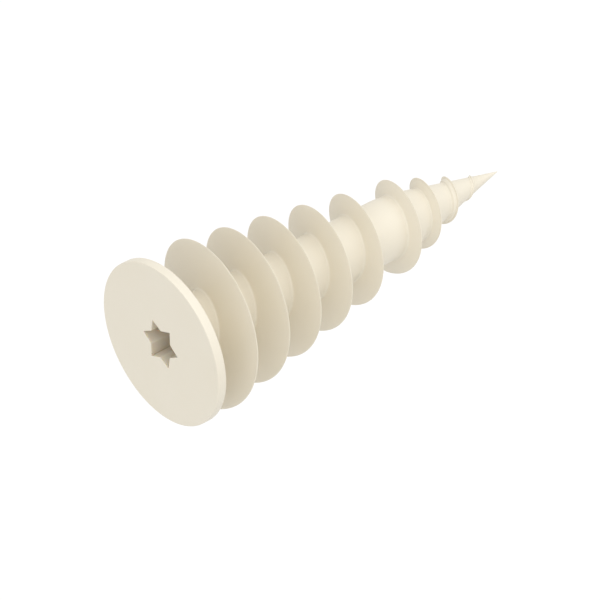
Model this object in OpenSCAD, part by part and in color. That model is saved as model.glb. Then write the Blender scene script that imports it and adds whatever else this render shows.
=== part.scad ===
// Spiral wall anchor for soft board, plaster and foam, moulded in one piece.
// It is turned in with a star bit, cuts its own thread, and a wood screw bites in its bore.
// Millimetres. The wall's surface is the plane Y = 0 and the point runs into the wall along +Y.
// Every module draws along +Z, and in_wall() lays the finished piece along +Y.

/* [Flange] */
// Diameter of the flange
flange_d = 24; // [20:0.5:32]
// Thickness of the flange
flange_t = 1.4; // [1:0.1:3]
// Bevel on both edges of the flange
flange_bevel = 0.12; // [0.05:0.01:0.4]

/* [Star socket] */
// Width of the star over its points: a size 40 star bit, 6.75 mm, and 0.2 mm of clearance a side
star_d = 7.15; // [5.4:0.05:7.6]
// Width of the star over its inner corners
star_inner_d = 4.5; // [4:0.05:5.2]
// Depth of the socket below the outer face
star_depth = 8; // [5:0.5:12]
// Turn of the star about the axis
star_turn = -3; // [-30:1:30]

/* [Core and screw bore] */
// Diameter of the core
core_d = 8.7; // [8:0.1:11]
// Diameter of the screw bore
bore_d = 4; // [3:0.1:4.4]
// Depth of the full bore below the outer face
bore_depth = 36; // [20:1:38]
// Length of the bore's tapered end
bore_end_len = 1.6; // [0.5:0.1:3]
// Diameter of the bore where its taper ends
bore_end_d = 1.3; // [0.6:0.1:2.4]

/* [Nose and point] */
// Length over everything, from the outer face to the tip
length = 61; // [55:0.5:95]
// Length over which the core narrows to the nose
shoulder_len = 3.6; // [1:0.2:6]
// Diameter at the thick end of the nose
nose_d = 7.9; // [6:0.1:8.6]
// Length of the nose
nose_len = 9.6; // [6:0.2:12]
// Diameter at the thick end of the point
point_d = 3.5; // [2.5:0.1:5]
// Length of the point
point_len = 7.6; // [5:0.2:12]
// Diameter of the blunt end of the point
tip_d = 0.16; // [0.1:0.02:0.6]

/* [Both flights] */
// Hand of the thread
thread_hand = "left"; // [left, right]
// Thickness of a flight at its edge
edge_t = 0.15; // [0.1:0.05:1]
// Thickness of a flight at the core
root_t = 1; // [0.5:0.05:2]

/* [Main flight] */
// Height of the main flight over the core at its start, if it didn't rise there
main_start_h = 8; // [6:0.1:12]
// Height of the main flight over the core at its end, if it didn't fall there
main_end_h = 2.6; // [1.5:0.1:4]
// Part of a turn over which the main flight rises from the core
main_run_in = 0.1; // [0.03:0.01:0.3]
// Pitch of the main flight
pitch = 6.5; // [5:0.1:9]
// Gap between the wall's surface and the start of the main flight
main_gap = 2.4; // [1.5:0.1:6]
// Angle about the axis at which the main flight starts
main_angle = 187; // [0:1:359]

/* [Lead flight] */
// Height of the lead flight over the core at its start, if it didn't rise there
lead_start_h = 2.7; // [2:0.05:4]
// Height of the lead flight over the thick end of the nose
lead_nose_h = 1.8; // [1:0.05:3]
// Height of the lead flight over the thick end of the point
lead_point_h = 0.5; // [0.2:0.05:1]
// Part of a turn over which the lead flight rises from the core
lead_run_in = 0.1; // [0.03:0.01:0.3]
// Distance by which the lead flight's edge stands off centre
lead_offset = 0.2; // [0:0.05:0.4]
// Angle about the axis of the side on which the lead flight's edge stands out
lead_offset_angle = 100; // [0:1:359]
// Axial step from the end of the main flight to the start of the lead flight
flight_step = 1.9; // [0.5:0.1:4]
// Pitch of the lead flight at its start
lead_pitch = 5.4; // [4:0.1:8]
// Pitch of the lead flight at its end
lead_end_pitch = 3.88; // [2.4:0.02:5]
// Length of the lead flight
lead_len = 17.5; // [14:0.1:22]
// Distance from the tip to where the lead flight has faded out
lead_from_tip = 4.3; // [3:0.1:5]

/* [Hidden] */
MAIN_PARTS = 5;
LEAD_PARTS = 4;
$fn = 96;
// Steps in one turn of a flight
TURN_STEPS = 60;
// Least height of a flight over the core, which keeps its solid closed
LEAST_RISE = 0.05;
// Overrun of a cut past the face it opens on
THROUGH = 1;

// Stations along the axis, measured from the wall's surface
face_z = -flange_t;
socket_z = star_depth - flange_t;
bore_z = bore_depth - flange_t;
tip_z = length - flange_t;
point_z = tip_z - point_len;
nose_z = point_z - nose_len;
shoulder_z = nose_z - shoulder_len;
lead_end_z = tip_z - lead_from_tip;
lead_z = lead_end_z - lead_len;
main_end_z = lead_z - flight_step;

main_turns = (main_end_z - main_gap) / pitch;
lead_turns = 2 * lead_len / (lead_pitch + lead_end_pitch);
// The lead flight takes over at the angle where the main flight has run out
lead_angle = main_angle + 360 * main_turns;

// Value at z on the straight line from (z1, v1) to (z2, v2)
function between(z, z1, v1, z2, v2) = v1 + (v2 - v1) * (z - z1) / (z2 - z1);

// Radius of the core's outside at z
function core_r(z) =
    z < shoulder_z ? core_d / 2 :
    z < nose_z ? between(z, shoulder_z, core_d / 2, nose_z, nose_d / 2) :
    z < point_z ? between(z, nose_z, nose_d / 2, point_z, point_d / 2) :
    between(z, point_z, point_d / 2, tip_z, tip_d / 2);

// Radius at z of the straight line that stands h1 over the core at z1 and h2 over it at z2
function over_core(z, z1, h1, z2, h2) = between(z, z1, core_r(z1) + h1, z2, core_r(z2) + h2);

// Radius at z of the cones on which the flights end
function cone_r(z) =
    z < lead_z ? over_core(z, main_gap, main_start_h, main_end_z, main_end_h) :
    z < nose_z ? over_core(z, lead_z, lead_start_h, nose_z, lead_nose_h) :
    z < point_z ? over_core(z, nose_z, lead_nose_h, point_z, lead_point_h) :
    over_core(z, point_z, lead_point_h, lead_end_z, 0);

// Share of its height that a flight has at the given number of turns from its nearer end
function rise(turns, run_in) = sin(90 * min(1, max(0, turns / run_in)));

// Radius of a flight's edge at z and angle, rest turns from the flight's nearer end
function edge_r(z, angle, rest, run_in) =
    let (offset = z < lead_z ? 0 : lead_offset * cos(angle - lead_offset_angle))
    core_r(z) + max(LEAST_RISE, (cone_r(z) + offset - core_r(z)) * rise(rest, run_in));

// Distance along the axis after t turns, while the pitch changes evenly from p1 to p2
function travel(t, turns, p1, p2) = p1 * t + (p2 - p1) * t * t / (2 * turns);

// The four corners of a flight's section, its head side first
function section(z, angle, rest, run_in) =
    let (
        swell = (root_t - edge_t) / 2,
        root_1 = z - swell,
        root_2 = z + edge_t + swell,
        r = edge_r(z, angle, rest, run_in),
        profile = [[core_r(root_1), root_1], [r, z], [r, z + edge_t], [core_r(root_2), root_2]]
    )
    [for (p = profile) [p[0] * cos(angle), p[0] * sin(angle), p[1]]];

// Part k of count equal parts of a flight that starts at z1
module flight_part(k, count, z1, angle, turns, p1, p2, run_in) {
    steps = max(1, ceil(TURN_STEPS * turns / count));
    rings = [
        for (i = [0:steps])
            let (t = turns * (k - 1 + i / steps) / count)
            section(z1 + travel(t, turns, p1, p2), angle + 360 * t, min(t, turns - t), run_in)
    ];
    sides = [
        for (i = [0:steps - 1], j = [0:3])
            let (a = 4 * i + j, b = 4 * i + (j + 1) % 4)
            each [[a, b, b + 4], [a, b + 4, a + 4]]
    ];
    last = 4 * steps;
    ends = [[3, 2, 1, 0], [last, last + 1, last + 2, last + 3]];
    polyhedron(points = [for (ring = rings) each ring], faces = concat(sides, ends), convexity = 6);
}

// Gives a flight its hand: it is drawn right-handed
module handed() {
    if (thread_hand == "left") {
        mirror([0, 1, 0]) children();
    } else {
        children();
    }
}

// Lays a piece that is drawn along +Z along +Y, with the angles of a left-hand flight as given
module in_wall() {
    rotate([-90, 0, 0]) children();
}

// Outline of the star, with its first point turned as the socket is
module star_outline() {
    polygon([
        for (i = [0:11])
            let (r = (i % 2 == 0 ? star_d : star_inner_d) / 2, a = 30 * i - star_turn)
            [r * cos(a), r * sin(a)]
    ]);
}

module socket_cut() {
    translate([0, 0, face_z - THROUGH])
        linear_extrude(height = star_depth + THROUGH)
            star_outline();
}

module bore_cut() {
    translate([0, 0, face_z])
        cylinder(h = bore_depth, d = bore_d);
    translate([0, 0, bore_z])
        cylinder(h = bore_end_len, d1 = bore_d, d2 = bore_end_d);
}

// The ring that stops at the wall and spreads the load
module flange() {
    rim_r = flange_d / 2;
    neck_r = core_d / 2;
    color("#E9E1D0")
        in_wall()
            translate([0, 0, face_z])
                rotate_extrude()
                    polygon([
                        [neck_r, 0],
                        [rim_r - flange_bevel, 0],
                        [rim_r, flange_bevel],
                        [rim_r, flange_t - flange_bevel],
                        [rim_r - flange_bevel, flange_t],
                        [neck_r, flange_t]
                    ]);
}

// The part of the core round the star socket, from the outer face in, which takes the driving torque
module socket_neck() {
    color("#E6DDCA")
        in_wall()
            difference() {
                translate([0, 0, face_z])
                    cylinder(h = star_depth, d = core_d);
                socket_cut();
            }
}

// The long part of the core, which the screw bites in
module shank() {
    color("#F1E9D8")
        in_wall()
            difference() {
                translate([0, 0, socket_z])
                    cylinder(h = shoulder_z - socket_z, d = core_d);
                bore_cut();
            }
}

// Where the core narrows to the nose
module shoulder() {
    color("#F2EAD9")
        in_wall()
            translate([0, 0, shoulder_z])
                cylinder(h = shoulder_len, d1 = core_d, d2 = nose_d);
}

module nose() {
    color("#F4EDDC")
        in_wall()
            translate([0, 0, nose_z])
                cylinder(h = nose_len, d1 = nose_d, d2 = point_d);
}

// The sharp end that starts the hole
module point() {
    color("#F3E9D6")
        in_wall()
            translate([0, 0, point_z])
                cylinder(h = point_len, d1 = point_d, d2 = tip_d);
}

// One of the equal parts of the wide flight that holds in the wall
module main_flight(k) {
    color("#D9CFBB")
        in_wall()
            handed()
                flight_part(
                    k, MAIN_PARTS, main_gap, main_angle, main_turns, pitch, pitch, main_run_in
                );
}

// One of the equal parts of the narrow flight that pulls the nose in
module lead_flight(k) {
    color("#E3DAC6")
        in_wall()
            handed()
                flight_part(
                    k, LEAD_PARTS, lead_z, lead_angle, lead_turns, lead_pitch, lead_end_pitch, lead_run_in
                );
}

flange();
socket_neck();
shank();
shoulder();
nose();
point();
for (k = [1:MAIN_PARTS]) main_flight(k);
for (k = [1:LEAD_PARTS]) lead_flight(k);
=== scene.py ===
"""The finished surfaces of a spiral wall anchor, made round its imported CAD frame.

The real anchor is one moulding of natural nylon. It is made here as three closed pieces: the body, with its
flange, star socket, screw bore and point, and the two lengths of its flight.
The anchor's axis is +Y, into the wall, and the wall's surface is the plane y = 0. Lengths are in metres.
"""

from math import ceil, cos, hypot, pi, radians, sin, tan

import bmesh
import bpy
from bpy.props import FloatProperty, FloatVectorProperty, IntProperty, PointerProperty
from mathutils import Matrix, Vector
from mathutils.bvhtree import BVHTree


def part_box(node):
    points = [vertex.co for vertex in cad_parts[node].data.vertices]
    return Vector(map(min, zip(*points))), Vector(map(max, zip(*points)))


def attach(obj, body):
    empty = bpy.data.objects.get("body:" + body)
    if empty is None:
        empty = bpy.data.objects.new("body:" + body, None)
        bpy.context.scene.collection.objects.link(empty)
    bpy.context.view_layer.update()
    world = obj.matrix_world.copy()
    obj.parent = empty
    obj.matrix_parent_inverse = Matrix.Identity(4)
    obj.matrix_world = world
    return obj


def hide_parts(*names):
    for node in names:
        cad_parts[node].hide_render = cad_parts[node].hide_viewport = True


bl_info = {
    "name": "Spiral wall anchor",
    "version": (1, 0, 0),
    "blender": (4, 5, 0),
    "location": "View3D > Sidebar > Wall anchor",
    "description": "Makes the finished surfaces of a moulded spiral wall anchor round its frame",
    "category": "Add Mesh",
}

MM = 0.001
BODY = "root"
# Vertices nearer to each other than this are one
WELD = 0.0005 * MM
# How far from a bend a second ring of vertices lies, to keep the bend's shading off the flat beside it
BESIDE = 0.08 * MM

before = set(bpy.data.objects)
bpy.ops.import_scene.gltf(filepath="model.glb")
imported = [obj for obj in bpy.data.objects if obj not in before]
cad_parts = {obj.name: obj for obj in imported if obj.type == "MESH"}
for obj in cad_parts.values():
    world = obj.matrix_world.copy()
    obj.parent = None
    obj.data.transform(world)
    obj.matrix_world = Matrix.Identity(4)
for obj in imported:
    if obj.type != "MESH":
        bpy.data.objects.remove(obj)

# The photo's frame, in pixels, with x to the right and y down
PHOTO_W = 600
PHOTO_H = 600
IMAGE_POINTS = {
    "socket_centre": (160.4, 344.4),
    "star_top": (152.8, 320.1),
    "star_left": (144.0, 331.5),
    "star_bottom": (168.8, 368.2),
    "star_right": (176.9, 357.5),
    "turn_1_top": (184.0, 237.8),
    "turn_2_top": (224.0, 226.8),
    "turn_3_top": (263.0, 215.7),
    "turn_4_top": (302.0, 204.6),
    "turn_5_top": (339.5, 193.0),
    "turn_6_top": (384.0, 179.3),
    "turn_7_top": (416.0, 177.5),
    "turn_8_top": (444.0, 176.5),
    "tip": (496.3, 172.3),
}


def linear(hex_colour):
    """The linear colour of an sRGB hex value."""
    channels = [int(hex_colour[i:i + 2], 16) / 255 for i in (1, 3, 5)]
    return tuple(c / 12.92 if c <= 0.04045 else ((c + 0.055) / 1.055) ** 2.4 for c in channels)


def nodes_named(start):
    """The CAD nodes whose names start so, in order."""
    return sorted(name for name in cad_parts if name.startswith(start))


# Stations along the axis and radii that the frame gives
FLANGE_LOW, FLANGE_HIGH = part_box("flange")
NECK_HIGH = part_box("socket_neck")[1]
SHOULDER_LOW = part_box("shoulder")[0]
NOSE_LOW, NOSE_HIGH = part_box("nose")
POINT_LOW, POINT_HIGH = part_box("point")
FACE_Y = FLANGE_LOW.y
WALL_Y = FLANGE_HIGH.y
SOCKET_Y = NECK_HIGH.y
SHOULDER_Y = SHOULDER_LOW.y
NOSE_Y = NOSE_LOW.y
POINT_Y = POINT_LOW.y
TIP_Y = POINT_HIGH.y
FLANGE_R = FLANGE_HIGH.x
CORE_R = NECK_HIGH.x
NOSE_R = NOSE_HIGH.x
POINT_R = POINT_HIGH.x


class AnchorSizes(bpy.types.PropertyGroup):
    """Sizes of the body that its frame doesn't give."""

    steps: IntProperty(
        name="Steps round the body", description="Steps in one turn of the body's surfaces",
        default=192, min=96, max=384,
    )
    rim_rounding: FloatProperty(
        name="Rim rounding", description="Radius on both edges of the flange's rim",
        default=0.14 * MM, unit="LENGTH", precision=5,
    )
    neck_fillet: FloatProperty(
        name="Neck fillet", description="Radius where the flange's underside meets the neck",
        default=0.5 * MM, unit="LENGTH", precision=5,
    )
    core_blend: FloatProperty(
        name="Core blend", description="Reach of the soft blend where the core's taper changes",
        default=0.8 * MM, unit="LENGTH", precision=5,
    )
    tip_rounding: FloatProperty(
        name="Tip rounding", description="Radius of the blunt end of the point",
        default=0.08 * MM, unit="LENGTH", precision=5,
    )
    star_across: FloatProperty(
        name="Star over its points", description="Width of the star socket over its points",
        default=7.15 * MM, unit="LENGTH", precision=5,
    )
    star_inner: FloatProperty(
        name="Star over its corners", description="Width of the star socket over its inner corners",
        default=4.5 * MM, unit="LENGTH", precision=5,
    )
    star_turn: FloatProperty(
        name="Star's turn", description="Angle of the star's first point, from X to Z",
        default=radians(-3), subtype="ANGLE",
    )
    star_corner: FloatProperty(
        name="Star's corners", description="Length that the rounding takes from each side of a corner",
        default=0.03 * MM, unit="LENGTH", precision=5,
    )
    mouth_rounding: FloatProperty(
        name="Mouth rounding", description="Width of the rounded edge at the socket's mouth",
        default=0.04 * MM, unit="LENGTH", precision=5,
    )
    socket_draft: FloatProperty(
        name="Socket's draft", description="Angle by which the socket's walls close inwards",
        default=radians(0.3), subtype="ANGLE",
    )
    bore_d: FloatProperty(
        name="Screw bore", description="Diameter of the bore that the screw bites in",
        default=4.0 * MM, unit="LENGTH", precision=5,
    )
    bore_depth: FloatProperty(
        name="Depth of the bore", description="Depth of the full bore below the outer face",
        default=36.0 * MM, unit="LENGTH", precision=5,
    )
    bore_end_d: FloatProperty(
        name="End of the bore", description="Diameter of the bore where its taper ends",
        default=1.3 * MM, unit="LENGTH", precision=5,
    )
    bore_end_len: FloatProperty(
        name="Taper of the bore", description="Length of the bore's tapered end",
        default=1.6 * MM, unit="LENGTH", precision=5,
    )


class FlightSizes(bpy.types.PropertyGroup):
    """Sizes of the two lengths of the flight, the same as in the CAD's source."""

    steps: IntProperty(
        name="Steps in a turn", description="Steps in one turn of a flight",
        default=96, min=48, max=192,
    )
    edge_t: FloatProperty(
        name="Thickness at the edge", description="Thickness of a flight at its edge",
        default=0.15 * MM, unit="LENGTH", precision=5,
    )
    edge_rounding: FloatProperty(
        name="Edge rounding", description="Height over which a flight's edge is rounded off",
        default=0.25 * MM, unit="LENGTH", precision=5,
    )
    root_t: FloatProperty(
        name="Thickness at the core", description="Thickness of a flight at the core",
        default=1.0 * MM, unit="LENGTH", precision=5,
    )
    root_fillet: FloatProperty(
        name="Root fillet", description="Radius where a flight meets the core",
        default=0.3 * MM, unit="LENGTH", precision=5,
    )
    main_start: FloatProperty(
        name="Main flight's start", description="Gap between the wall's surface and the main flight",
        default=2.4 * MM, unit="LENGTH", precision=5,
    )
    main_end: FloatProperty(
        name="Main flight's end", description="Distance from the wall's surface to the main flight's end",
        default=35.9 * MM, unit="LENGTH", precision=5,
    )
    main_start_h: FloatProperty(
        name="Main height at the start", description="Height of the main flight over the core at its start",
        default=8.0 * MM, unit="LENGTH", precision=5,
    )
    main_end_h: FloatProperty(
        name="Main height at the end", description="Height of the main flight over the core at its end",
        default=2.6 * MM, unit="LENGTH", precision=5,
    )
    main_run_in: FloatProperty(
        name="Main run-in", description="Part of a turn over which the main flight rises from the core",
        default=0.1, min=0.01, max=0.5,
    )
    main_pitch: FloatProperty(
        name="Main pitch", description="Pitch of the main flight",
        default=6.5 * MM, unit="LENGTH", precision=5,
    )
    main_angle: FloatProperty(
        name="Main flight's angle", description="Angle at which the main flight starts, from X to Z",
        default=radians(187), subtype="ANGLE",
    )
    lead_start: FloatProperty(
        name="Lead flight's start", description="Distance from the wall's surface to the lead flight",
        default=37.8 * MM, unit="LENGTH", precision=5,
    )
    lead_end: FloatProperty(
        name="Lead flight's end", description="Distance from the wall's surface to the lead flight's end",
        default=55.3 * MM, unit="LENGTH", precision=5,
    )
    lead_start_h: FloatProperty(
        name="Lead height at the start", description="Height of the lead flight over the core at its start",
        default=2.7 * MM, unit="LENGTH", precision=5,
    )
    lead_nose_h: FloatProperty(
        name="Lead height at the nose", description="Height of the lead flight over the nose's thick end",
        default=1.8 * MM, unit="LENGTH", precision=5,
    )
    lead_point_h: FloatProperty(
        name="Lead height at the point", description="Height of the lead flight over the point's thick end",
        default=0.5 * MM, unit="LENGTH", precision=5,
    )
    lead_run_in: FloatProperty(
        name="Lead run-in", description="Part of a turn over which the lead flight rises from the core",
        default=0.1, min=0.01, max=0.5,
    )
    lead_offset: FloatProperty(
        name="Lead offset", description="Distance by which the lead flight's edge stands off centre",
        default=0.2 * MM, unit="LENGTH", precision=5,
    )
    lead_offset_angle: FloatProperty(
        name="Lead offset's angle", description="Angle of the side on which the lead edge stands out",
        default=radians(100), subtype="ANGLE",
    )
    lead_pitch: FloatProperty(
        name="Lead pitch", description="Pitch of the lead flight at its start",
        default=5.4 * MM, unit="LENGTH", precision=5,
    )
    lead_end_pitch: FloatProperty(
        name="Lead end pitch", description="Pitch of the lead flight at its end",
        default=3.88 * MM, unit="LENGTH", precision=5,
    )


class NylonLook(bpy.types.PropertyGroup):
    """Colours and finish of the moulding."""

    ivory: FloatVectorProperty(
        name="Ivory", description="Colour of the moulding",
        default=linear("#EAE3D3"), subtype="COLOR", size=3, min=0, max=1,
    )
    cream: FloatVectorProperty(
        name="Cream", description="Colour where the melt cooled a little yellower",
        default=linear("#E7DFCC"), subtype="COLOR", size=3, min=0, max=1,
    )
    # The socket's two colours are darker than the outside's ivory and cream: painted shade in the recess
    socket_ivory_painted_shade: FloatVectorProperty(
        name="Socket's ivory", description="Colour of the socket's thin walls",
        default=linear("#E3DACA"), subtype="COLOR", size=3, min=0, max=1,
    )
    socket_cream_painted_shade: FloatVectorProperty(
        name="Socket's cream", description="Colour of the socket's walls where the melt cooled yellower",
        default=linear("#DED6C4"), subtype="COLOR", size=3, min=0, max=1,
    )
    roughness: FloatProperty(
        name="Roughness", description="Mean roughness of the satin moulded surface",
        default=0.46, min=0, max=1, subtype="FACTOR",
    )
    socket_translucence: FloatProperty(
        name="Socket's translucence", description="Share of the light that wanders in the socket's walls",
        default=0.6, min=0, max=1, subtype="FACTOR",
    )
    socket_depth: FloatProperty(
        name="Socket's depth", description="How far light wanders in the socket's thin walls",
        default=1.2 * MM, unit="LENGTH", precision=5,
    )


class StudioSetup(bpy.types.PropertyGroup):
    """Camera, lamps and floor."""

    azimuth: FloatProperty(
        name="Azimuth", description="Camera's turn round the object, 0 looking along +Y",
        default=radians(49.06), subtype="ANGLE",
    )
    elevation: FloatProperty(
        name="Elevation", description="Camera's height above the horizon",
        default=radians(36.55), subtype="ANGLE",
    )
    distance: FloatProperty(
        name="Distance", description="From the camera to the socket's centre, along the view",
        default=744 * MM, unit="LENGTH",
    )
    lens: FloatProperty(
        name="Lens", description="Focal length of the camera, in millimetres", default=334.5,
    )
    sensor: FloatProperty(
        name="Sensor", description="Width of the camera's sensor, in millimetres", default=36.0,
    )
    floor_drop: FloatProperty(
        name="Floor", description="Height of the anchor's axis over the floor",
        default=90 * MM, unit="LENGTH",
    )
    sky: FloatProperty(
        name="Sky", description="Level of the light that comes from all round", default=0.77,
    )
    key_level: FloatProperty(
        name="Key lamp", description="Level of the key lamp's light on a surface that faces it",
        default=0.3,
    )
    front_level: FloatProperty(
        name="Front lamp", description="Level of the front lamp's light on a surface that faces it",
        default=0.21,
    )


def new_object(name, mesh):
    """A new object for a mesh, at the origin."""
    piece = bpy.data.objects.new(name, mesh)
    bpy.context.scene.collection.objects.link(piece)
    return piece


def finish_piece(name, bm, nodes, materials):
    """Makes the bmesh a smooth closed piece that stands for the CAD nodes and rides on the frame."""
    bmesh.ops.remove_doubles(bm, verts=bm.verts, dist=WELD)
    bmesh.ops.recalc_face_normals(bm, faces=bm.faces)
    if any(not edge.is_manifold for edge in bm.edges):
        raise RuntimeError(f"{name} isn't closed")
    mesh = bpy.data.meshes.new(name)
    bm.to_mesh(mesh)
    bm.free()
    mesh.shade_smooth()
    sharp_from = radians(40)
    mesh.set_sharp_from_angle(angle=sharp_from)
    for material in materials:
        mesh.materials.append(material)
    piece = new_object(name, mesh)
    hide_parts(*nodes)
    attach(piece, BODY)


def between(y, y1, v1, y2, v2):
    """Value at y on the straight line from (y1, v1) to (y2, v2)."""
    return v1 + (v2 - v1) * (y - y1) / (y2 - y1)


def core_r(y):
    """Radius of the core's outside at y."""
    if y < SHOULDER_Y:
        return CORE_R
    if y < NOSE_Y:
        return between(y, SHOULDER_Y, CORE_R, NOSE_Y, NOSE_R)
    if y < POINT_Y:
        return between(y, NOSE_Y, NOSE_R, POINT_Y, POINT_R)
    return between(y, POINT_Y, POINT_R, TIP_Y, bpy.context.scene.anchor_sizes.tip_rounding)


def arc(centre, radius, start, end, steps):
    """Points on an arc in the plane of radius and y, with its angles in degrees from the radius to y."""
    angles = [radians(start + (end - start) * i / steps) for i in range(steps + 1)]
    return [(centre[0] + radius * cos(a), centre[1] + radius * sin(a)) for a in angles]


def blended(points, reach):
    """The points along a line, with a soft bend in place of each inner corner.

    A point beside the bend on either side keeps its shading from running along the straight lengths.
    """
    beside = 1.2 * reach
    line = [Vector(point) for point in points]
    soft = [line[0]]
    for before, corner, after in zip(line, line[1:], line[2:]):
        back = (before - corner).normalized()
        on = (after - corner).normalized()
        soft.append(corner + back * beside)
        soft += [corner + (back * (1 - t) ** 2 + on * t ** 2) * reach for t in (0, 0.25, 0.5, 0.75, 1)]
        soft.append(corner + on * beside)
    return [tuple(point) for point in soft] + [points[-1]]


def wire(bm, points):
    """Vertices joined in a row, at points given as (radius, y). Returns the vertices and the edges."""
    verts = [bm.verts.new((r, y, 0)) for r, y in points]
    edges = [bm.edges.new(pair) for pair in zip(verts, verts[1:])]
    return verts, edges


def body_outline(sizes, start_r):
    """The body's outside from the flange's face, round the rim and along the core to the tip."""
    rim = sizes.rim_rounding
    neck = sizes.neck_fillet
    tip = sizes.tip_rounding
    # Degrees from the radius at which the point's cone runs into the rounding of its tip
    tip_start = 15
    points = [(start_r, FACE_Y), (FLANGE_R - rim - BESIDE, FACE_Y)]
    points += arc((FLANGE_R - rim, FACE_Y + rim), rim, -90, 0, steps=5)
    points += arc((FLANGE_R - rim, WALL_Y - rim), rim, 0, 90, steps=5)
    points += [(FLANGE_R - rim - BESIDE, WALL_Y), (CORE_R + neck + BESIDE, WALL_Y)]
    points += arc((CORE_R + neck, WALL_Y + neck), neck, 270, 180, steps=6)
    core = [
        (CORE_R, WALL_Y + neck + BESIDE), (CORE_R, SHOULDER_Y), (NOSE_R, NOSE_Y), (POINT_R, POINT_Y),
        (tip, TIP_Y - 2 * tip),
    ]
    points += blended(core, sizes.core_blend)
    points += arc((0, TIP_Y - tip), tip, tip_start, 90, steps=4)[:-1]
    points += [(0, TIP_Y)]
    return points


def star_loop(bm, sizes, factor):
    """The edges of the star's outline at the socket's mouth, scaled, with rounded corners."""
    star_corners = 12
    radii = [sizes.star_across / 2 * factor, sizes.star_inner / 2 * factor]
    angles = [sizes.star_turn + 2 * pi * i / star_corners for i in range(star_corners)]
    verts = [
        bm.verts.new((radii[i % 2] * cos(angle), FACE_Y, radii[i % 2] * sin(angle)))
        for i, angle in enumerate(angles)
    ]
    bm.faces.new(verts)
    rounding = 4
    bmesh.ops.bevel(
        bm, geom=verts, offset=sizes.star_corner, offset_type="OFFSET", segments=rounding,
        profile=0.5, affect="VERTICES", material=-1,
    )
    sides = sorted(bm.edges, key=lambda edge: -edge.calc_length())[:star_corners]
    # So many cuts give the star about as many edges as the bore has
    cuts = sizes.steps // star_corners - rounding - 1
    bmesh.ops.subdivide_edges(bm, edges=sides, cuts=cuts, use_grid_fill=False)
    star = bm.faces[:][0]
    loop = list(star.edges)
    bm.faces.remove(star)
    return loop


def pushed(bm, edges, along, factor=1.0):
    """Extrudes a ring of edges along the axis and scales it about the axis. Returns the new ring."""
    made = bmesh.ops.extrude_edge_only(bm, edges=edges)["geom"]
    verts = [g for g in made if isinstance(g, bmesh.types.BMVert)]
    bmesh.ops.scale(bm, verts=verts, vec=(factor, 1, factor))
    bmesh.ops.translate(bm, verts=verts, vec=(0, along, 0))
    fresh = set(verts)
    return [g for g in made if isinstance(g, bmesh.types.BMEdge) and set(g.verts) <= fresh]


def socket_and_bore(bm, sizes):
    """The star socket and the screw bore below it. Returns the flat ring of edges round the mouth.

    All faces below the mouth take the piece's second material, the socket's nylon, whose darker colours are
    painted shade.
    """
    half = sizes.star_across / 2
    rounding = sizes.mouth_rounding
    # From the flat face, round a quarter circle to the wall. Each ring is (distance out of the wall, depth)
    quarter = [
        (rounding * (1 - sin(radians(a))), rounding * (1 - cos(radians(a)))) for a in (0, 30, 60, 90)
    ]
    wall = SOCKET_Y - FACE_Y
    draft = tan(sizes.socket_draft)
    rings = [(rounding + BESIDE, 0)] + quarter + [
        (-BESIDE * draft, rounding + BESIDE), (-wall * draft, wall),
    ]
    factors = [1 + out / half for out, _ in rings]
    mouth = ring = star_loop(bm, sizes, factors[0])
    for i in range(1, len(rings)):
        ring = pushed(bm, ring, rings[i][1] - rings[i - 1][1], factors[i] / factors[i - 1])
    bore = bmesh.ops.create_circle(
        bm, cap_ends=False, radius=sizes.bore_d / 2, segments=sizes.steps,
        matrix=Matrix.Translation((0, SOCKET_Y, 0)) @ Matrix.Rotation(pi / 2, 4, "X"),
    )["verts"]
    bore_ring = list({edge for vert in bore for edge in vert.link_edges})
    bmesh.ops.bridge_loops(bm, edges=ring + bore_ring)
    ring = pushed(bm, bore_ring, FACE_Y + sizes.bore_depth - SOCKET_Y)
    ring = pushed(bm, ring, sizes.bore_end_len, sizes.bore_end_d / sizes.bore_d)
    bmesh.ops.contextual_create(bm, geom=ring)
    # The faces in the socket and the bore get the second material, darkened with painted shade
    for face in bm.faces:
        if all(vert.co.y > FACE_Y for vert in face.verts):
            face.material_index = 1
    return mouth


class ANCHOR_OT_body(bpy.types.Operator):
    """Makes the flange, its star socket, the core with its screw bore, and the point"""

    bl_idname = "anchor.body"
    bl_label = "Flange, socket and core"

    def execute(self, context):
        sizes = context.scene.anchor_sizes
        bm = bmesh.new()
        mouth = socket_and_bore(bm, sizes)
        # The spun outside starts this far out of the star's points, and a flat ring joins it to the mouth
        ring_width = 0.6 * MM
        start_r = sizes.star_across / 2 + ring_width
        verts, edges = wire(bm, body_outline(sizes, start_r))
        bmesh.ops.spin(
            bm, geom=verts + edges, cent=(0, 0, 0), axis=(0, 1, 0), angle=2 * pi,
            steps=sizes.steps, use_merge=True,
        )
        bmesh.ops.remove_doubles(bm, verts=bm.verts, dist=WELD)
        slack = 0.01 * MM
        rim = [
            edge for edge in bm.edges
            if edge.is_boundary
            and all(abs(hypot(v.co.x, v.co.z) - start_r) < slack for v in edge.verts)
        ]
        bmesh.ops.bridge_loops(bm, edges=[edge for edge in mouth if edge.is_valid] + rim)
        # The second material, for the socket, is darker with painted shade
        finish_piece(
            "anchor_body", bm, ["flange", "socket_neck", "shank", "shoulder", "nose", "point"],
            [solid_nylon(), socket_nylon_painted_shade()],
        )
        return {"FINISHED"}


def over_core(y, y1, h1, y2, h2):
    """Radius at y of the straight line that stands h1 over the core at y1 and h2 over it at y2."""
    return between(y, y1, core_r(y1) + h1, y2, core_r(y2) + h2)


def cone_r(y, flight):
    """Radius at y of the cones on which the flights' edges lie."""
    if y < flight.lead_start:
        return over_core(y, flight.main_start, flight.main_start_h, flight.main_end, flight.main_end_h)
    if y < NOSE_Y:
        return over_core(y, flight.lead_start, flight.lead_start_h, NOSE_Y, flight.lead_nose_h)
    if y < POINT_Y:
        return over_core(y, NOSE_Y, flight.lead_nose_h, POINT_Y, flight.lead_point_h)
    return over_core(y, POINT_Y, flight.lead_point_h, flight.lead_end, 0)


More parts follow.
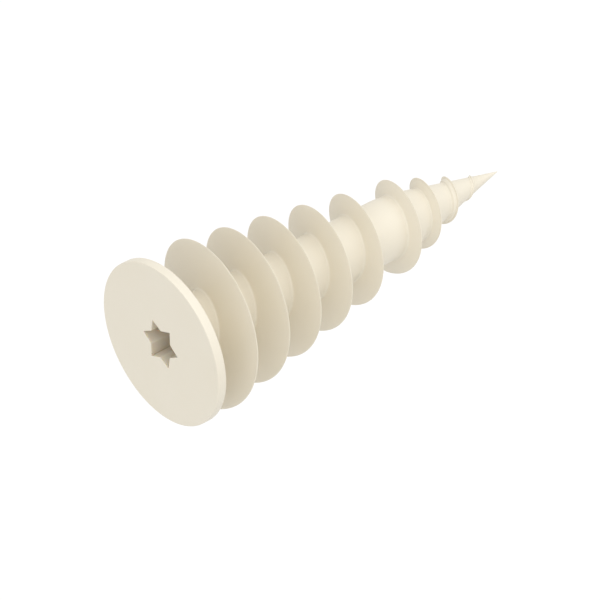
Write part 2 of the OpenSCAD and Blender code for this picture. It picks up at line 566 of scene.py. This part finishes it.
def flight_height(y, theta, rest, run_in, flight):
    """Height of a flight over the core, rest turns from its nearer end, where it sinks into the core."""
    sunk = 0.03 * MM
    share = min(1, max(0, rest / run_in))
    if share < 1e-6:
        return -sunk
    offset = 0 if y < flight.lead_start else flight.lead_offset * cos(theta - flight.lead_offset_angle)
    return max(cone_r(y, flight) + offset - core_r(y), 0) * sin(share * pi / 2)


def travel(turn, turns, pitch, end_pitch):
    """Distance along the axis after so many turns, while the pitch changes evenly."""
    return pitch * turn + (end_pitch - pitch) * turn * turn / (2 * turns)


def flight_section(flight, high):
    """Half a flight's section as (height, distance from its middle), from inside the core to the edge."""
    # A section lower than this is the one of this height, flattened
    least = 0.05 * MM
    full = max(high, least)
    half_edge = flight.edge_t / 2
    # A low flight has a thin root: its half thickness grows by at most this share of its height
    spread = 0.7
    half_root = min(flight.root_t / 2, half_edge + spread * full)
    # The fillet and the rounded edge of a low flight leave a fifth of its height to the flank
    bend = 0.4 * full
    fillet = min(flight.root_fillet, bend)
    crown = min(flight.edge_rounding, bend)
    # The root reaches this deep into the core
    buried = 0.12 * MM
    root = [
        (fillet * (1 - cos(radians(a))), half_root + fillet * (1 - sin(radians(a))))
        for a in (0, 30, 60, 90)
    ]
    edge = [
        (full - crown + crown * sin(radians(a)), half_edge * cos(radians(a)))
        for a in (0, 22.5, 45, 67.5, 90)
    ]
    # Points beside the fillet and the edge keep their shading off the flank
    flank = [
        tuple(a + (b - a) * share for a, b in zip(root[-1], edge[0]))
        for share in (0.05, 0.5, 0.95)
    ]
    return [(-buried, root[0][1])] + [(h * high / full, d) for h, d in root + flank + edge]


def make_flight(name, nodes, start, end, pitch, end_pitch, angle, run_in):
    """A flight, spun as a plain screw and then given its own height and pitch at each step."""
    flight = bpy.context.scene.flight_sizes
    turns = 2 * (end - start) / (pitch + end_pitch)
    steps = ceil(flight.steps * turns)
    plain_high = 10 * MM
    plain_pitch = 10 * MM
    half = flight_section(flight, plain_high)
    bm = bmesh.new()
    row_layer = bm.verts.layers.int.new("row")
    # A row's number is its place in the half section, counted from 1 at the root, and is negative on the
    # head side. The rows run from the root on the head side, round the edge, to the root on the tip side
    places = range(1, len(half) + 1)
    rows = [-place for place in places] + list(reversed(places[:-1]))
    verts = []
    for row in rows:
        h, d = half[abs(row) - 1]
        vert = bm.verts.new((CORE_R + h, -d if row < 0 else d, 0))
        vert[row_layer] = row
        verts.append(vert)
    face = bm.faces.new(verts)
    bmesh.ops.spin(
        bm, geom=[face], cent=(0, 0, 0), axis=(0, 1, 0), angle=-2 * pi * turns,
        dvec=(0, plain_pitch * turns / steps, 0), steps=steps, use_merge=False,
    )
    sections = {}
    for vert in bm.verts:
        row = vert[row_layer]
        side = -1 if row < 0 else 1
        place = abs(row) - 1
        step = round((vert.co.y - side * half[place][1]) / plain_pitch / turns * steps)
        turn = turns * step / steps
        theta = angle + 2 * pi * turn
        y = start + travel(turn, turns, pitch, end_pitch)
        if step not in sections:
            high = flight_height(y, theta, min(turn, turns - turn), run_in, flight)
            sections[step] = flight_section(flight, high)
        h, d = sections[step][place]
        y += flight.edge_t / 2 + side * d
        r = core_r(y) + h
        vert.co = (r * cos(theta), y, r * sin(theta))
    finish_piece(name, bm, nodes, [solid_nylon()])


class ANCHOR_OT_main_flight(bpy.types.Operator):
    """Makes the wide flight that holds in the wall"""

    bl_idname = "anchor.main_flight"
    bl_label = "Main flight"

    def execute(self, context):
        flight = context.scene.flight_sizes
        make_flight(
            "main_flight", nodes_named("main_flight"), flight.main_start, flight.main_end,
            flight.main_pitch, flight.main_pitch, flight.main_angle, flight.main_run_in,
        )
        return {"FINISHED"}


class ANCHOR_OT_lead_flight(bpy.types.Operator):
    """Makes the narrow flight that pulls the nose in"""

    bl_idname = "anchor.lead_flight"
    bl_label = "Lead flight"

    def execute(self, context):
        flight = context.scene.flight_sizes
        main_turns = (flight.main_end - flight.main_start) / flight.main_pitch
        make_flight(
            "lead_flight", nodes_named("lead_flight"), flight.lead_start, flight.lead_end,
            flight.lead_pitch, flight.lead_end_pitch, flight.main_angle + 2 * pi * main_turns,
            flight.lead_run_in,
        )
        return {"FINISHED"}


def add_node(tree, kind, settings=None, **links):
    """Adds a node. settings sets its properties, and its inputs where they start with a capital."""
    node = tree.nodes.new(kind)
    for key, value in (settings or {}).items():
        if key[0].isupper():
            node.inputs[key].default_value = value
        else:
            setattr(node, key, value)
    for key, socket in links.items():
        tree.links.new(socket, node.inputs[key.replace("_", " ")])
    return node


def per_metre(size):
    """Scale of a pattern on Object coordinates whose features are of that size, in metres."""
    return 1 / size


def nylon(name, ivory, cream, translucence=0.0, depth=0.0):
    """Natural nylon 6, injection moulded in a spark-eroded tool: ivory and satin."""
    # Each material is made once, for all the pieces that ask for it
    found = bpy.data.materials.get(name)
    if found and found.get("made_here"):
        return found
    roughness = bpy.context.scene.nylon_look.roughness
    material = bpy.data.materials.new(name)
    material["made_here"] = True
    material.use_nodes = True
    tree = material.node_tree
    tree.nodes.clear()
    place = add_node(tree, "ShaderNodeTexCoord").outputs["Object"]
    # Slow bands of tone, where the melt met and cooled at its own pace
    flow = add_node(
        tree, "ShaderNodeTexNoise",
        {"Scale": per_metre(7 * MM), "Detail": 3.0, "Roughness": 0.55}, Vector=place,
    )
    # The sockets for two colours are numbers 6 and 7, and the mixed colour comes out of number 2
    tone = add_node(tree, "ShaderNodeMix", {"data_type": "RGBA"})
    tone.inputs[6].default_value = (*ivory, 1)
    tone.inputs[7].default_value = (*cream, 1)
    tree.links.new(flow.outputs["Fac"], tone.inputs[0])
    # The tool's eroded texture, whose grains of 0.05 mm are drawn at 0.18 mm so that they show
    grain = add_node(
        tree, "ShaderNodeTexNoise",
        {"Scale": per_metre(0.18 * MM), "Detail": 2.0, "Roughness": 0.6}, Vector=place,
    )
    spread = 0.06
    sheen = add_node(
        tree, "ShaderNodeMapRange",
        {"To Min": roughness - spread, "To Max": roughness + spread}, Value=grain.outputs["Fac"],
    )
    bump = add_node(
        tree, "ShaderNodeBump",
        {"Strength": 0.12, "Distance": 0.01 * MM}, Height=grain.outputs["Fac"],
    )
    shader = add_node(
        tree, "ShaderNodeBsdfPrincipled",
        {
            "IOR": 1.53,
            "Subsurface Weight": translucence,
            "Subsurface Radius": (1.0, 0.8, 0.5),
            "Subsurface Scale": depth,
        },
        Base_Color=tone.outputs[2], Roughness=sheen.outputs["Result"], Normal=bump.outputs["Normal"],
    )
    add_node(tree, "ShaderNodeOutputMaterial", Surface=shader.outputs["BSDF"])
    return material


def solid_nylon():
    """The nylon of the whole moulding but the socket.

    It isn't translucent, because that would draw a grey line where a flight's root dips into the core.
    """
    look = bpy.context.scene.nylon_look
    return nylon("moulded_nylon", look.ivory, look.cream)


def socket_nylon_painted_shade():
    """The nylon in the socket: its thin walls let more light wander, and its darker colours are painted
    shade in the recess.
    """
    look = bpy.context.scene.nylon_look
    return nylon(
        "socket_nylon_painted_shade", look.socket_ivory_painted_shade, look.socket_cream_painted_shade, look.socket_translucence, look.socket_depth,
    )


def camera_back(studio):
    """Direction from the object to the camera."""
    return Vector((
        sin(studio.azimuth) * cos(studio.elevation),
        -cos(studio.azimuth) * cos(studio.elevation),
        sin(studio.elevation),
    ))


def make_camera(scene):
    """The camera at the photo's angle, aimed so that the socket's centre shows at its image point."""
    studio = scene.studio_setup
    data = bpy.data.cameras.new("photo_camera")
    data.sensor_fit = "AUTO"
    data.sensor_width = studio.sensor
    data.lens = studio.lens
    data.clip_start = 0.01
    data.clip_end = 20
    camera = bpy.data.objects.new("photo_camera", data)
    scene.collection.objects.link(camera)
    back = camera_back(studio)
    right = Vector((cos(studio.azimuth), sin(studio.azimuth), 0))
    up = back.cross(right)
    metres_per_pixel = studio.distance * studio.sensor / studio.lens / max(PHOTO_W, PHOTO_H)
    x, y = IMAGE_POINTS["socket_centre"]
    aside = (x - PHOTO_W / 2) * metres_per_pixel
    above = (PHOTO_H / 2 - y) * metres_per_pixel
    camera.matrix_world = Matrix.Translation(
        Vector((0, FACE_Y, 0)) + back * studio.distance - right * aside - up * above
    ) @ Matrix((right, up, back)).transposed().to_4x4()
    scene.camera = camera


def make_lamp(scene, name, azimuth, elevation, level):
    """A square soft lamp that gives a surface facing it the stated level of light."""
    distance = 0.7
    size = 1.0
    # So large a lamp gives this much of what its distance and power alone would make
    nearness = 0.6
    data = bpy.data.lights.new(name, "AREA")
    data.shape = "SQUARE"
    data.size = size
    data.energy = level * pi * pi * distance * distance / nearness
    lamp = bpy.data.objects.new(name, data)
    scene.collection.objects.link(lamp)
    away = Vector((sin(azimuth) * cos(elevation), -cos(azimuth) * cos(elevation), sin(elevation)))
    middle = Vector((0, (FACE_Y + TIP_Y) / 2, 0))
    lamp.matrix_world = Matrix.Translation(middle + away * distance) @ (
        away.to_track_quat("Z", "Y").to_matrix().to_4x4()
    )


def seen_directly(tree):
    """1 for rays that show the background or its reflection, and 0 for rays that light the object."""
    rays = add_node(tree, "ShaderNodeLightPath")
    seen = add_node(tree, "ShaderNodeMath", {"operation": "MAXIMUM"})
    tree.links.new(rays.outputs["Is Camera Ray"], seen.inputs[0])
    tree.links.new(rays.outputs["Is Glossy Ray"], seen.inputs[1])
    return seen.outputs[0]


def floor_material():
    """Matt studio paper. Half of what the camera sees is a steady white, and half takes the shadow."""
    grey = (0.73, 0.73, 0.73, 1)
    steady_white = 1.3
    steady_share = 0.5
    material = bpy.data.materials.new("studio_paper")
    material.use_nodes = True
    tree = material.node_tree
    tree.nodes.clear()
    paper = add_node(tree, "ShaderNodeBsdfDiffuse", {"Color": grey})
    white = add_node(tree, "ShaderNodeEmission", {"Color": (1, 1, 1, 1), "Strength": steady_white})
    share = add_node(tree, "ShaderNodeMath", {"operation": "MULTIPLY"})
    tree.links.new(seen_directly(tree), share.inputs[0])
    share.inputs[1].default_value = steady_share
    both = add_node(tree, "ShaderNodeMixShader", Fac=share.outputs[0])
    tree.links.new(paper.outputs["BSDF"], both.inputs[1])
    tree.links.new(white.outputs["Emission"], both.inputs[2])
    add_node(tree, "ShaderNodeOutputMaterial", Surface=both.outputs["Shader"])
    return material


def make_world(scene):
    """Even light from all round, which shows white behind the object."""
    world = bpy.data.worlds.new("studio")
    scene.world = world
    world.use_nodes = True
    tree = world.node_tree
    tree.nodes.clear()
    level = add_node(
        tree, "ShaderNodeMapRange", {"To Min": scene.studio_setup.sky, "To Max": 1.0},
        Value=seen_directly(tree),
    )
    light = add_node(
        tree, "ShaderNodeBackground", {"Color": (1, 1, 1, 1)}, Strength=level.outputs["Result"],
    )
    add_node(tree, "ShaderNodeOutputWorld", Surface=light.outputs["Background"])


class ANCHOR_OT_stage(bpy.types.Operator):
    """Makes the pale floor, the soft lamps and the camera at the photo's angle"""

    bl_idname = "anchor.stage"
    bl_label = "Floor, lamps and camera"

    def execute(self, context):
        scene = context.scene
        studio = scene.studio_setup
        floor_reach = 3.0
        bm = bmesh.new()
        bmesh.ops.create_grid(bm, x_segments=1, y_segments=1, size=floor_reach)
        bmesh.ops.translate(bm, verts=bm.verts, vec=(0, 0, -studio.floor_drop))
        mesh = bpy.data.meshes.new("studio_floor")
        bm.to_mesh(mesh)
        bm.free()
        mesh.materials.append(floor_material())
        new_object("studio_floor", mesh)
        make_world(scene)
        make_lamp(scene, "key_lamp", azimuth=radians(120), elevation=radians(60), level=studio.key_level)
        make_lamp(scene, "front_lamp", azimuth=radians(30), elevation=radians(30), level=studio.front_level)
        make_camera(scene)
        scene.view_settings.view_transform = "Standard"
        return {"FINISHED"}


def point_in_view(camera, place):
    """Where a place in the object's frame shows, in the photo's pixels."""
    local = camera.matrix_world.inverted() @ place
    long_side = max(PHOTO_W, PHOTO_H)
    scale = long_side * camera.data.lens / camera.data.sensor_width / -local.z
    return Vector((
        PHOTO_W / 2 - camera.data.shift_x * long_side + local.x * scale,
        PHOTO_H / 2 + camera.data.shift_y * long_side - local.y * scale,
    ))


def place_under(camera, tree, x, y):
    """The place on the finished surfaces that shows at an image point, or the nearest place to its ray."""
    long_side = max(PHOTO_W, PHOTO_H)
    ray = camera.matrix_world.to_3x3() @ Vector((
        x - PHOTO_W / 2 + camera.data.shift_x * long_side,
        PHOTO_H / 2 - y + camera.data.shift_y * long_side,
        -long_side * camera.data.lens / camera.data.sensor_width,
    ))
    ray.normalize()
    eye = camera.matrix_world.translation
    place = tree.ray_cast(eye, ray)[0]
    if place is None:
        starts = 60
        tries = 6
        nearest = []
        for i in range(starts):
            place = Vector((0, FACE_Y + (TIP_Y - FACE_Y) * (i + 0.5) / starts, 0))
            for _ in range(tries):
                on_ray = eye + ray * (place - eye).dot(ray)
                place = tree.find_nearest(on_ray)[0]
            nearest.append(((place - on_ray).length, place))
        place = min(nearest, key=lambda pair: pair[0])[1]
    return place


def surface_tree(pieces):
    """A search tree of the finished pieces' surfaces."""
    verts, faces = [], []
    for piece in pieces:
        first = len(verts)
        verts += [piece.matrix_world @ vert.co for vert in piece.data.vertices]
        faces += [[first + i for i in face.vertices] for face in piece.data.polygons]
    return BVHTree.FromPolygons(verts, faces), verts


def write_points(camera, pieces):
    """Works out how far in x and y each turn's crest shows from its image point, in the photo's pixels."""
    tree, verts = surface_tree(pieces)
    eye = camera.matrix_world.translation
    shown = [(point_in_view(camera, vert), vert) for vert in verts]
    # A ray that is stopped no further than this before a vertex still sees it
    graze = 0.3 * MM

    def first_seen(candidates, order):
        """Where the first of the vertices in that order shows, of those that nothing hides."""
        for point, vert in sorted(candidates, key=lambda pair: order(pair[0])):
            ray = vert - eye
            if tree.ray_cast(eye, ray.normalized(), ray.length - graze)[0] is None:
                return point
        raise RuntimeError("None of these vertices shows")

    def off(point, wanted):
        """The step from the wanted point to the shown one, rounded."""
        return [round(a - b, 2) for a, b in zip(point, wanted)]

    left = first_seen(shown, lambda p: p.x)
    right = first_seen(shown, lambda p: -p.x)
    top = first_seen(shown, lambda p: p.y)
    bottom = first_seen(shown, lambda p: -p.y)
    sizes = bpy.context.scene.anchor_sizes
    # The star's outline is made of the vertices on the face, near the edge of the mouth
    mouth_r = sizes.star_across / 2 + 1.5 * sizes.mouth_rounding
    mouth_y = FACE_Y + 0.01 * MM
    mouth = [
        pair for pair in shown
        if pair[1].y < mouth_y and hypot(pair[1].x, pair[1].z) < mouth_r
    ]
    star = {
        "star_top": first_seen(mouth, lambda p: p.y),
        "star_left": first_seen(mouth, lambda p: p.x),
        "star_bottom": first_seen(mouth, lambda p: -p.y),
        "star_right": first_seen(mouth, lambda p: -p.x),
        "socket_centre": sum((pair[0] for pair in mouth), Vector((0, 0))) / len(mouth),
        "tip": right,
    }
    for name, wanted in IMAGE_POINTS.items():
        if name in star:
            continue
        # The crest of the turn that shows at the point, within a third of a turn along the axis
        near = place_under(camera, tree, *wanted).y
        reach = bpy.context.scene.flight_sizes.main_pitch / 3
        turn = [pair for pair in shown if abs(pair[1].y - near) < reach]
        off(first_seen(turn, lambda p: p.y), wanted)


class ANCHOR_PT_panel(bpy.types.Panel):
    """Lists the pieces and their sizes"""

    bl_label = "Wall anchor"
    bl_idname = "ANCHOR_PT_panel"
    bl_space_type = "VIEW_3D"
    bl_region_type = "UI"
    bl_category = "Wall anchor"

    def draw(self, context):
        layout = self.layout
        for maker in MAKERS:
            layout.operator(maker.bl_idname)
        for group_name in GROUPS:
            group = getattr(context.scene, group_name)
            box = layout.box()
            for key in group.bl_rna.properties.keys():
                if key not in ("rna_type", "name"):
                    box.prop(group, key)


GROUPS = {
    "anchor_sizes": AnchorSizes,
    "flight_sizes": FlightSizes,
    "nylon_look": NylonLook,
    "studio_setup": StudioSetup,
}
MAKERS = (ANCHOR_OT_body, ANCHOR_OT_main_flight, ANCHOR_OT_lead_flight, ANCHOR_OT_stage)


def register():
    """Registers the property groups, the operators and the panel."""
    for name, group in GROUPS.items():
        bpy.utils.register_class(group)
        setattr(bpy.types.Scene, name, PointerProperty(type=group))
    for maker in (*MAKERS, ANCHOR_PT_panel):
        bpy.utils.register_class(maker)


def unregister():
    """Takes back what register() did."""
    for maker in (ANCHOR_PT_panel, *reversed(MAKERS)):
        bpy.utils.unregister_class(maker)
    for name, group in reversed(GROUPS.items()):
        delattr(bpy.types.Scene, name)
        bpy.utils.unregister_class(group)


def main():
    """Makes all pieces and the stage, and works out how well the turns meet their image points."""
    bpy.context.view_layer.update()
    register()
    bpy.ops.anchor.body()
    bpy.ops.anchor.main_flight()
    bpy.ops.anchor.lead_flight()
    bpy.ops.anchor.stage()
    pieces = [bpy.data.objects[name] for name in ("anchor_body", "main_flight", "lead_flight")]
    write_points(bpy.context.scene.camera, pieces)


if __name__ == "__main__":
    main()
